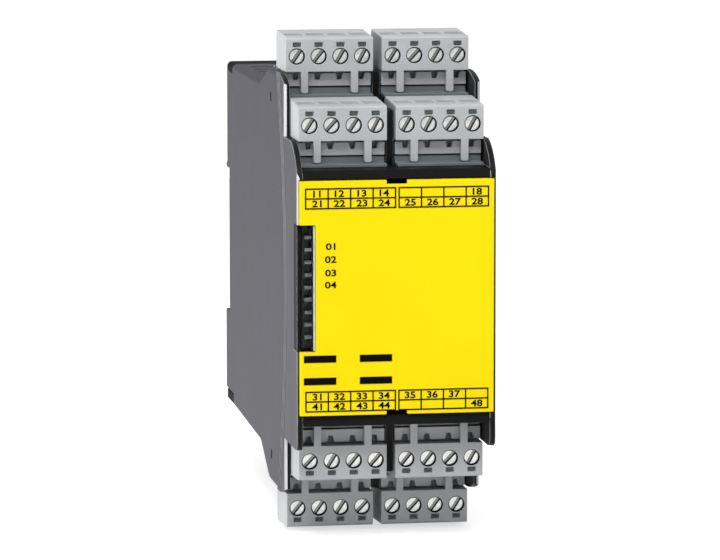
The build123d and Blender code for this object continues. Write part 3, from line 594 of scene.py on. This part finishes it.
def square_corner(shape):
    """Push the lower front corner of both side walls out to a nearly square one."""
    moved = 0
    for spot in shape.verts:
        if spot.co.y > corner_back or spot.co.z > corner_top or abs(spot.co.x) < cheek_inside - hair:
            continue
        across = (corner_back - spot.co.y) / corner_deep
        down = (corner_top - spot.co.z) / corner_tall
        rounded = curved_length(across, down, round_power)
        if rounded > on_outline:
            push = rounded / curved_length(across, down, square_power)
            spot.co.y = corner_back - across * push * corner_deep
            spot.co.z = corner_top - down * push * corner_tall
            moved += 1
    print("points moved at the lower corners:", moved)


# %% Dress the housing, the panel and the plugs
dress("rear_housing", "housing", "housing_grey", housing_grey, 0.25)
dress("front_housing", "housing", "front_black", front_black, 0.1, square_corner)
dress("rear_strip", "housing", "strip_black", strip_black, 0.1)
dress("foot_latch", "latch", "latch_black", latch_black, 0.35)
dress("front_cover", "cover", "cover_yellow", cover_yellow, 0.15)
for plug in plug_names:
    dress("plug_" + plug, "plug_" + plug, "plug_grey", plug_grey, 0.12)
    dress("header_" + plug, "housing", "header_grey", header_grey, 0.1)

# %% [markdown]
# ## Geometry Nodes in short
# What repeats is made by Geometry Nodes: one shape is built once and set on many points.
# Each tree has named inputs for its sizes. The modifier takes its values by the inputs' identifiers.
# Realize Instances turns the copies into real faces, and the result is kept as a plain mesh.


# %% Start a tree and grow a piece from it
def start_tree(name, numbers, vectors=()):
    """A Geometry Nodes tree with named inputs, and its input sockets."""
    tree = bpy.data.node_groups.new(name, "GeometryNodeTree")
    tree.is_modifier = True
    for label in numbers:
        tree.interface.new_socket(label, in_out="INPUT", socket_type="NodeSocketFloat")
    for label in vectors:
        tree.interface.new_socket(label, in_out="INPUT", socket_type="NodeSocketVector")
    for label in ("Count", "Seed"):
        tree.interface.new_socket(label, in_out="INPUT", socket_type="NodeSocketInt")
    tree.interface.new_socket("Material", in_out="INPUT", socket_type="NodeSocketMaterial")
    tree.interface.new_socket("Geometry", in_out="OUTPUT", socket_type="NodeSocketGeometry")
    return tree, put(tree, "NodeGroupInput").outputs


def end_tree(tree, geometry, given):
    """The tree's last nodes: real faces, and their material."""
    real = put(tree, "GeometryNodeRealizeInstances", {"Geometry": geometry})
    inputs = {"Geometry": real.outputs[0], "Material": given["Material"]}
    done = put(tree, "GeometryNodeSetMaterial", inputs)
    put(tree, "NodeGroupOutput", {"Geometry": done.outputs[0]})


def grow(name, tree, values):
    """Run a tree with these inputs, and keep its result as a plain object."""
    draft = bpy.data.objects.new("draft", bpy.data.meshes.new("draft"))
    scene.collection.objects.link(draft)
    modifier = draft.modifiers.new("tree", "NODES")
    modifier.node_group = tree
    for item in tree.interface.items_tree:
        if item.in_out == "INPUT":
            modifier[item.identifier] = values[item.name]
    return plain_mesh(name, draft)


def calculate(tree, operation, first, second):
    """One sum in a node tree."""
    return put(tree, "ShaderNodeMath", {0: first, 1: second}, operation=operation).outputs[0]


def set_in_row(tree, given, shape, way, around=(0, 0, 0)):
    """Copies of a shape on a line of points along X or Y, set upright and moved to their middle."""
    last = calculate(tree, "SUBTRACT", given["Count"], 1.0)
    start = calculate(tree, "MULTIPLY", calculate(tree, "MULTIPLY", last, given["Pitch"]), -0.5)
    start_place = put(tree, "ShaderNodeCombineXYZ", {way: start}).outputs[0]
    step = put(tree, "ShaderNodeCombineXYZ", {way: given["Pitch"]}).outputs[0]
    line_inputs = {"Count": given["Count"], "Start Location": start_place, "Offset": step}
    line = put(tree, "GeometryNodeMeshLine", line_inputs).outputs[0]
    copies = {"Points": line, "Instance": shape, "Rotation": around}
    row = put(tree, "GeometryNodeInstanceOnPoints", copies).outputs[0]
    upright_row = {"Geometry": row, "Translation": given["Middle"], "Rotation": (math.radians(90), 0, 0)}
    return put(tree, "GeometryNodeTransform", upright_row).outputs[0]


# %% [markdown]
# ## Clamping screws
# Each plug has four slotted screws that press its wires down. They could be modelled by hand 32 times,
# but one tree draws a screw from its sizes: a disc is extruded into a shank, widened into a head with
# a chamfered rim, and a bar is cut from it for the slot. The screw is set on a line of four points,
# each turned a little differently by a random value with a fixed seed, as a fitter leaves them.
# The place of each point on its own screw is stored, so that the metal can show turning rings.

# %% The screw tree
head_sizes = ("Head Radius", "Head Height", "Rim", "Slot Width", "Slot Depth")
other_sizes = ("Shank Radius", "Shank Length", "Pitch", "Turn Low", "Turn High")
screw_tree, given = start_tree("screw_row", (*head_sizes, *other_sizes), ("Middle",))
disc_inputs = {"Vertices": 40, "Radius": given["Shank Radius"]}
disc = put(screw_tree, "GeometryNodeMeshCircle", disc_inputs, fill_type="NGON")
whole = calculate(screw_tree, "ADD", given["Shank Length"], given["Head Height"])
low = put(screw_tree, "ShaderNodeCombineXYZ", {"Z": calculate(screw_tree, "MULTIPLY", whole, -1.0)})
low_inputs = {"Geometry": disc.outputs[0], "Translation": low.outputs[0]}
low_disc = put(screw_tree, "GeometryNodeTransform", low_inputs)
tip = put(screw_tree, "GeometryNodeFlipFaces", {"Mesh": low_disc.outputs[0]})


def raise_faces(mesh, selection, height, scale):
    """Extrude the selected faces by a height, and scale what comes out."""
    inputs = {"Mesh": mesh, "Offset Scale": height}
    if selection is not None:
        inputs["Selection"] = selection
    raised = put(screw_tree, "GeometryNodeExtrudeMesh", inputs).outputs
    inputs = {"Geometry": raised["Mesh"], "Selection": raised["Top"], "Scale": scale}
    return put(screw_tree, "GeometryNodeScaleElements", inputs).outputs[0], raised["Top"]


wider = calculate(screw_tree, "DIVIDE", given["Head Radius"], given["Shank Radius"])
straight = calculate(screw_tree, "SUBTRACT", given["Head Height"], given["Rim"])
narrow = calculate(screw_tree, "SUBTRACT", given["Head Radius"], given["Rim"])
narrower = calculate(screw_tree, "DIVIDE", narrow, given["Head Radius"])
body, top = raise_faces(low_disc.outputs[0], None, given["Shank Length"], 1.0)
body, top = raise_faces(body, top, 0.0, wider)
body, top = raise_faces(body, top, straight, 1.0)
body, top = raise_faces(body, top, given["Rim"], narrower)
both = put(screw_tree, "GeometryNodeJoinGeometry")
screw_tree.links.new(body, both.inputs[0])
screw_tree.links.new(tip.outputs[0], both.inputs[0])
weld_inputs = {"Geometry": both.outputs[0], "Distance": 0.001 * millimetre}
closed = put(screw_tree, "GeometryNodeMergeByDistance", weld_inputs)
long = calculate(screw_tree, "MULTIPLY", given["Head Radius"], 3.0)
deep = calculate(screw_tree, "MULTIPLY", given["Slot Depth"], 2.0)
bar_size = put(screw_tree, "ShaderNodeCombineXYZ", {"X": long, "Y": given["Slot Width"], "Z": deep})
bar = put(screw_tree, "GeometryNodeMeshCube", {"Size": bar_size.outputs[0]})
slotted = put(screw_tree, "GeometryNodeMeshBoolean", operation="DIFFERENCE")
screw_tree.links.new(closed.outputs[0], slotted.inputs[0])
screw_tree.links.new(bar.outputs[0], slotted.inputs[1])
position = put(screw_tree, "GeometryNodeInputPosition").outputs[0]
spot_inputs = {"Geometry": slotted.outputs[0], "Name": "spot", "Value": position}
spot = put(screw_tree, "GeometryNodeStoreNamedAttribute", spot_inputs, data_type="FLOAT_VECTOR")
turn = put(screw_tree, "FunctionNodeRandomValue", data_type="FLOAT")
for socket, value in (("Min", "Turn Low"), ("Max", "Turn High"), ("Seed", "Seed")):
    target = next(item for item in turn.inputs if item.name == socket and item.enabled)
    screw_tree.links.new(given[value], target)
turned = next(item for item in turn.outputs if item.enabled)
around = put(screw_tree, "ShaderNodeCombineXYZ", {"Z": turned}).outputs[0]
end_tree(screw_tree, set_in_row(screw_tree, given, spot.outputs[0], "X", around), given)

# %% Set the screws in their plugs
head_radius = 1.72 * millimetre
well_radius = 1.85 * millimetre
head_height = 0.95 * millimetre
screw_pitch = 5.0 * millimetre
screws_in_row = 4
for number, plug in enumerate(plug_names):
    low_corner, high_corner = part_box("screws_" + plug)
    screw_values = {
        "Head Radius": head_radius,
        "Head Height": head_height,
        "Rim": 0.12 * millimetre,
        "Slot Width": slot_width * millimetre,
        "Slot Depth": 0.6 * millimetre,
        "Shank Radius": 1.3 * millimetre,
        "Shank Length": (high_corner.y - low_corner.y) - head_height,
        "Pitch": screw_pitch,
        "Turn Low": math.radians(44),
        "Turn High": math.radians(63),
        "Middle": ((low_corner.x + high_corner.x) / 2, low_corner.y, (low_corner.z + high_corner.z) / 2),
        "Count": screws_in_row,
        "Seed": 11 + number,
        "Material": screw_steel,
    }
    raw = grow("raw_screws", screw_tree, screw_values)
    screws = round_edges("screw_row_" + plug, raw.data.copy(), 0.05)
    bpy.data.objects.remove(raw)
    settle(screws, "plug_" + plug, "screw_steel", screw_steel, "screws_" + plug)
print("screws:", screws_in_row * len(plug_names), "faces in one row:", len(screws.data.polygons))

# %% [markdown]
# ## Painted shade in the wells around the screws
# Each screw sinks into a well that is wider than its head, so a dark gap shows around it.
# The gap is real in the model, but light leaks into so small a hole more than it does in real plastic.
# A black ring of painted shade keeps it dark: a circle is swept by a narrow profile that stands along the
# well's wall, so that it shows as a dark crescent at the right and the bottom, where the wall faces the
# user.

# %% The ring tree, and rings of painted shade in the wells
ring_tree, given = start_tree("ring_row", ("Radius", "Width", "Height", "Pitch"), ("Middle",))
path_inputs = {"Resolution": 32, "Radius": given["Radius"]}
ring_path = put(ring_tree, "GeometryNodeCurvePrimitiveCircle", path_inputs)
section_inputs = {"Width": given["Width"], "Height": given["Height"]}
ring_section = put(ring_tree, "GeometryNodeCurvePrimitiveQuadrilateral", section_inputs)
sweep_inputs = {"Curve": ring_path.outputs[0], "Profile Curve": ring_section.outputs[0]}
ring = put(ring_tree, "GeometryNodeCurveToMesh", sweep_inputs)
end_tree(ring_tree, set_in_row(ring_tree, given, ring.outputs[0], "X"), given)
# painted shade: black rings stand along the well walls, where there is only shade
shade_ring_width = 0.07 * millimetre
shade_ring_tall = 1.45 * millimetre
shade_ring_start = 0.12 * millimetre
for plug in plug_names:
    low_corner, high_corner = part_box("screws_" + plug)
    plug_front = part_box("plug_" + plug)[0].y
    ring_place = plug_front + shade_ring_start + shade_ring_tall / 2
    ring_middle = ((low_corner.x + high_corner.x) / 2, ring_place, (low_corner.z + high_corner.z) / 2)
    ring_values = {
        "Radius": well_radius - shade_ring_width / 2,
        "Width": shade_ring_width,
        "Height": shade_ring_tall,
        "Pitch": screw_pitch,
        "Middle": ring_middle,
        "Count": screws_in_row,
        "Seed": 1,
        "Material": shade_ring_and_side_black,
    }
    shade_rings_piece = grow("well_shade_rings_" + plug, ring_tree, ring_values)
    settle(shade_rings_piece, "plug_" + plug, "plug_grey", shade_ring_and_side_black)
print("rings:", len(plug_names) * screws_in_row, "faces in one row:", len(shade_rings_piece.data.polygons))

# %% [markdown]
# ## Painted shade in the marker recesses
# Above each screw is a small marker recess, and a thin block lies on its floor, darker than the plug, as
# painted shade.
# The plates are one more row of four, so a short tree repeats a thin block.

# %% Set the painted shade plates in the marker recesses
plate_tree, given = start_tree("plate_row", ("Across", "Tall", "Thick", "Pitch"), ("Middle",))
plate_inputs = {"X": given["Across"], "Y": given["Tall"], "Z": given["Thick"]}
plate_size = put(plate_tree, "ShaderNodeCombineXYZ", plate_inputs)
plate = put(plate_tree, "GeometryNodeMeshCube", {"Size": plate_size.outputs[0]})
end_tree(plate_tree, set_in_row(plate_tree, given, plate.outputs[0], "X"), given)
marker_rise = 2.65 * millimetre
marker_sunk = 0.28 * millimetre
for plug in plug_names:
    low_corner, high_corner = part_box("screws_" + plug)
    away = 1 if low_corner.z > 0 else -1
    marker_up = (low_corner.z + high_corner.z) / 2 + away * marker_rise
    marker_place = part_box("plug_" + plug)[0].y + marker_sunk
    plate_values = {
        "Across": 1.34 * millimetre,
        "Tall": 0.54 * millimetre,
        "Thick": 0.1 * millimetre,
        "Pitch": screw_pitch,
        "Middle": ((low_corner.x + high_corner.x) / 2, marker_place, marker_up),
        "Count": screws_in_row,
        "Seed": 1,
        # painted shade: the block's dark grey stands for the shade on the recess floor
        "Material": marker_shade_grey,
    }
    raw = grow("raw_plates", plate_tree, plate_values)
    plates = round_edges("marker_shade_plates_" + plug, raw.data.copy(), 0.03)
    bpy.data.objects.remove(raw)
    settle(plates, "plug_" + plug, "plug_grey", marker_shade_grey)
print("marker plates:", len(plug_names) * screws_in_row)

# %% [markdown]
# ## The light guide
# Behind the clear corner stands a dark carrier with nine short bars of smoky plastic, one above another.
# They lead the light of small lamps to the front. The carrier is three blocks with rounded edges.
# The bars repeat, so a tree makes them: a block whose lower front edge is pulled up, which gives the
# sloping underside of a light guide, is set on nine points.

# %% The carrier
guide_low, guide_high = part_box("light_guide")
window_low, window_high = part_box("light_window")


def from_blocks(name, blocks, edge):
    """A plain object from square blocks, each given by two corners, with rounded edges."""
    shape = bmesh.new()
    for low, high in blocks:
        corners = bmesh.ops.create_cube(shape, size=1.0)["verts"]
        bmesh.ops.scale(shape, verts=corners, vec=Vector(high) - Vector(low))
        bmesh.ops.translate(shape, verts=corners, vec=(Vector(high) + Vector(low)) / 2)
    mesh = bpy.data.meshes.new("draft")
    shape.to_mesh(mesh)
    shape.free()
    return round_edges(name, mesh, edge)


plate_front = guide_high.y - 0.8 * millimetre
side_wall = guide_high.x - 0.3 * millimetre
outer_wall = guide_low.x + 0.25 * millimetre
carrier_blocks = (
    ((guide_low.x, plate_front, guide_low.z), (guide_high.x, guide_high.y, guide_high.z)),
    ((side_wall, guide_low.y, guide_low.z), (guide_high.x, plate_front, guide_high.z)),
    ((guide_low.x, guide_low.y + millimetre, guide_low.z), (outer_wall, plate_front, guide_high.z)),
)
carrier = from_blocks("guide_carrier", carrier_blocks, 0.04)
settle(carrier, "housing", "guide_black", guide_black, "light_guide")

# %% The bars of the light guide
bar_tree, given = start_tree("guide_bars", ("Across", "Tall", "Deep", "Taper", "Pitch"), ("Middle",))
block_inputs = {"X": given["Across"], "Y": given["Tall"], "Z": given["Deep"]}
block_size = put(bar_tree, "ShaderNodeCombineXYZ", block_inputs)
block = put(bar_tree, "GeometryNodeMeshCube", {"Size": block_size.outputs[0]})
position = put(bar_tree, "GeometryNodeInputPosition").outputs[0]
point = put(bar_tree, "ShaderNodeSeparateXYZ", {0: position}).outputs
front_share = calculate(bar_tree, "GREATER_THAN", point["Z"], 0.0)
under_share = calculate(bar_tree, "LESS_THAN", point["Y"], 0.0)
low_front = calculate(bar_tree, "MULTIPLY", front_share, under_share)
pull = calculate(bar_tree, "MULTIPLY", low_front, given["Taper"])
offset = put(bar_tree, "ShaderNodeCombineXYZ", {"Y": pull})
wedge_inputs = {"Geometry": block.outputs[0], "Offset": offset.outputs[0]}
wedge = put(bar_tree, "GeometryNodeSetPosition", wedge_inputs)
end_tree(bar_tree, set_in_row(bar_tree, given, wedge.outputs[0], "Y"), given)
bar_front = guide_low.y + 0.1 * millimetre
bar_low_x = guide_low.x + 0.35 * millimetre
bar_deep_middle = (plate_front + bar_front) / 2
bar_up_middle = (guide_low.z + guide_high.z) / 2
bar_values = {
    "Across": side_wall - bar_low_x,
    "Tall": 1.15 * millimetre,
    "Deep": plate_front - bar_front,
    "Taper": 0.35 * millimetre,
    "Pitch": 2.8 * millimetre,
    "Middle": ((side_wall + bar_low_x) / 2, bar_deep_middle, bar_up_middle),
    "Count": 9,
    "Seed": 1,
    "Material": guide_clear,
}
raw = grow("raw_bars", bar_tree, bar_values)
bars = round_edges("guide_bars", raw.data.copy(), 0.08)
bpy.data.objects.remove(raw)
settle(bars, "housing", "guide_black", guide_clear, "light_guide")
print("guide bars:", bar_values["Count"])

# %% [markdown]
# ## The window
# The window wraps the corner: a clear sheet at the front, and a side that the dark carrier backs, which
# looks black. It could be one glass corner, but its side would then mirror the white studio.
# So the sheet is glass and the side is a dark glossy piece of its own.
# The cut edge of a clear sheet gathers light and looks white. It is a thin frosted bead, painted pale as a
# highlight of that light, that closes the gap between the window and the yellow sheet.

# %% The window's sheet, its side and its bead
sheet_back = window_low.y + 0.6 * millimetre
side_back = window_low.x + 0.6 * millimetre
sheet_blocks = ((tuple(window_low), (window_high.x - 0.1 * millimetre, sheet_back, window_high.z)),)
sheet = from_blocks("window_sheet", sheet_blocks, 0.12)
settle(sheet, "housing", "window_clear", window_clear, "light_window")
side_blocks = (((window_low.x, sheet_back, window_low.z), (side_back, window_high.y, window_high.z)),)
side = from_blocks("window_side", side_blocks, 0.1)
settle(side, "housing", "guide_black", shade_ring_and_side_black, "light_window")
bead_across = (window_high.x - 0.28 * millimetre, window_high.x + 0.12 * millimetre)
bead_back = (window_low.y - 0.03 * millimetre, window_low.y + 0.7 * millimetre)
bead_up = (window_low.z + 0.05 * millimetre, window_high.z - 0.05 * millimetre)
bead_low, bead_high = zip(bead_across, bead_back, bead_up)
bead = from_blocks("window_bead", ((bead_low, bead_high),), 0.1)
settle(bead, "housing", "window_clear", edge_frost_and_glint)
print("window:", round((window_high.z - window_low.z) / millimetre, 1), "mm tall")

# %% [markdown]
# ## Numbers on the panel
# The real panel names its terminals in two small tables. Plain numbers stand there instead.
# Each is a text object that becomes a mesh. The words are made a thousand times too large and then
# shrunk, because the fill of very small letters can go wrong. They are widened, because such print
# is wide and bold to be read at arm's length, and they are ink, four hundredths of a millimetre thick.

# %% Print the numbers
panel_front = -114.5
letter_width = 1.28
letter_weight = 0.05
ink_half = 0.02
ink_rise = 0.03


def print_words(name, words, size):
    """One ink mesh from words and the middles of their places, in millimetres across and up."""
    printed = bmesh.new()
    for word, across, up in words:
        curve = bpy.data.curves.new("word", "FONT")
        curve.body = word
        curve.size = size
        curve.extrude = ink_half
        curve.offset = letter_weight
        curve.resolution_u = 5
        draft = bpy.data.objects.new("draft", curve)
        scene.collection.objects.link(draft)
        flat = plain_mesh("word", draft)
        spots = [corner.co for corner in flat.data.vertices]
        across_middle = (max(spot.x for spot in spots) + min(spot.x for spot in spots)) / 2
        up_middle = (max(spot.y for spot in spots) + min(spot.y for spot in spots)) / 2
        widen = Matrix.Scale(letter_width, 4, (1, 0, 0))
        centre = Matrix.Translation((-across_middle, -up_middle, 0))
        upright_turn = Matrix.Rotation(math.radians(90), 4, "X")
        place = Matrix.Translation((across, panel_front - ink_rise, up)) @ upright_turn
        flat.data.transform(Matrix.Scale(millimetre, 4) @ place @ widen @ centre)
        printed.from_mesh(flat.data)
        bpy.data.objects.remove(flat)
    mesh = bpy.data.meshes.new(name)
    printed.to_mesh(mesh)
    printed.free()
    made = bpy.data.objects.new(name, mesh)
    scene.collection.objects.link(made)
    return made


columns = [side * step for side in (-1, 1) for step in (2.925, 7.975, 13.025, 18.075)]
columns.sort()
table_rows = (
    (23.5, ("11", "12", "13", "14", "", "", "", "18")),
    (21.3, ("21", "22", "23", "24", "25", "26", "27", "28")),
    (-22.0, ("31", "32", "33", "34", "35", "36", "37", "")),
    (-24.2, ("41", "42", "43", "44", "", "", "", "48")),
)
words = [(word, column, up) for up, row in table_rows for word, column in zip(row, columns) if word]
words += [("01", -15.0, 11.7), ("02", -15.0, 8.8), ("03", -15.0, 5.8), ("04", -15.0, 3.1)]
numbers = print_words("panel_numbers", words, 2.05)
settle(numbers, "cover", "print_black", print_black)
print("words printed:", len(words), "faces:", len(numbers.data.polygons))

# %% [markdown]
# ## The latch spring
# A coil spring pushes the foot latch up against the rail. A Spiral curve with the same radius at both
# ends is a helix, and a small circle swept along it is the wire.

# %% Wind the spring
spring_low, spring_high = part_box("latch_spring")
wire_radius = 0.25 * millimetre
spring_tree, given = start_tree("spring", ("Turns", "Radius", "Wire", "Tall"), ("Middle",))
spiral = put(
    spring_tree,
    "GeometryNodeCurveSpiral",
    {
        "Resolution": given["Count"],
        "Rotations": given["Turns"],
        "Start Radius": given["Radius"],
        "End Radius": given["Radius"],
        "Height": given["Tall"],
    },
)
wire_inputs = {"Resolution": 12, "Radius": given["Wire"]}
wire_circle = put(spring_tree, "GeometryNodeCurvePrimitiveCircle", wire_inputs)
coil = put(
    spring_tree,
    "GeometryNodeCurveToMesh",
    {"Curve": spiral.outputs[0], "Profile Curve": wire_circle.outputs[0], "Fill Caps": True},
)
place_inputs = {"Geometry": coil.outputs[0], "Translation": given["Middle"]}
placed_coil = put(spring_tree, "GeometryNodeTransform", place_inputs)
end_tree(spring_tree, placed_coil.outputs[0], given)
spring_axis = (0.0, (spring_low.y + spring_high.y) / 2, spring_low.z + wire_radius)
spring_values = {
    "Turns": 5.0,
    "Radius": 1.3 * millimetre,
    "Wire": wire_radius,
    "Tall": spring_high.z - spring_low.z - 2 * wire_radius,
    "Middle": spring_axis,
    "Count": 32,
    "Seed": 1,
    "Material": spring_steel,
}
spring = grow("coil_spring", spring_tree, spring_values)
spring.data.shade_smooth()
settle(spring, "housing", "spring_steel", spring_steel, "latch_spring")
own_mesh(spring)
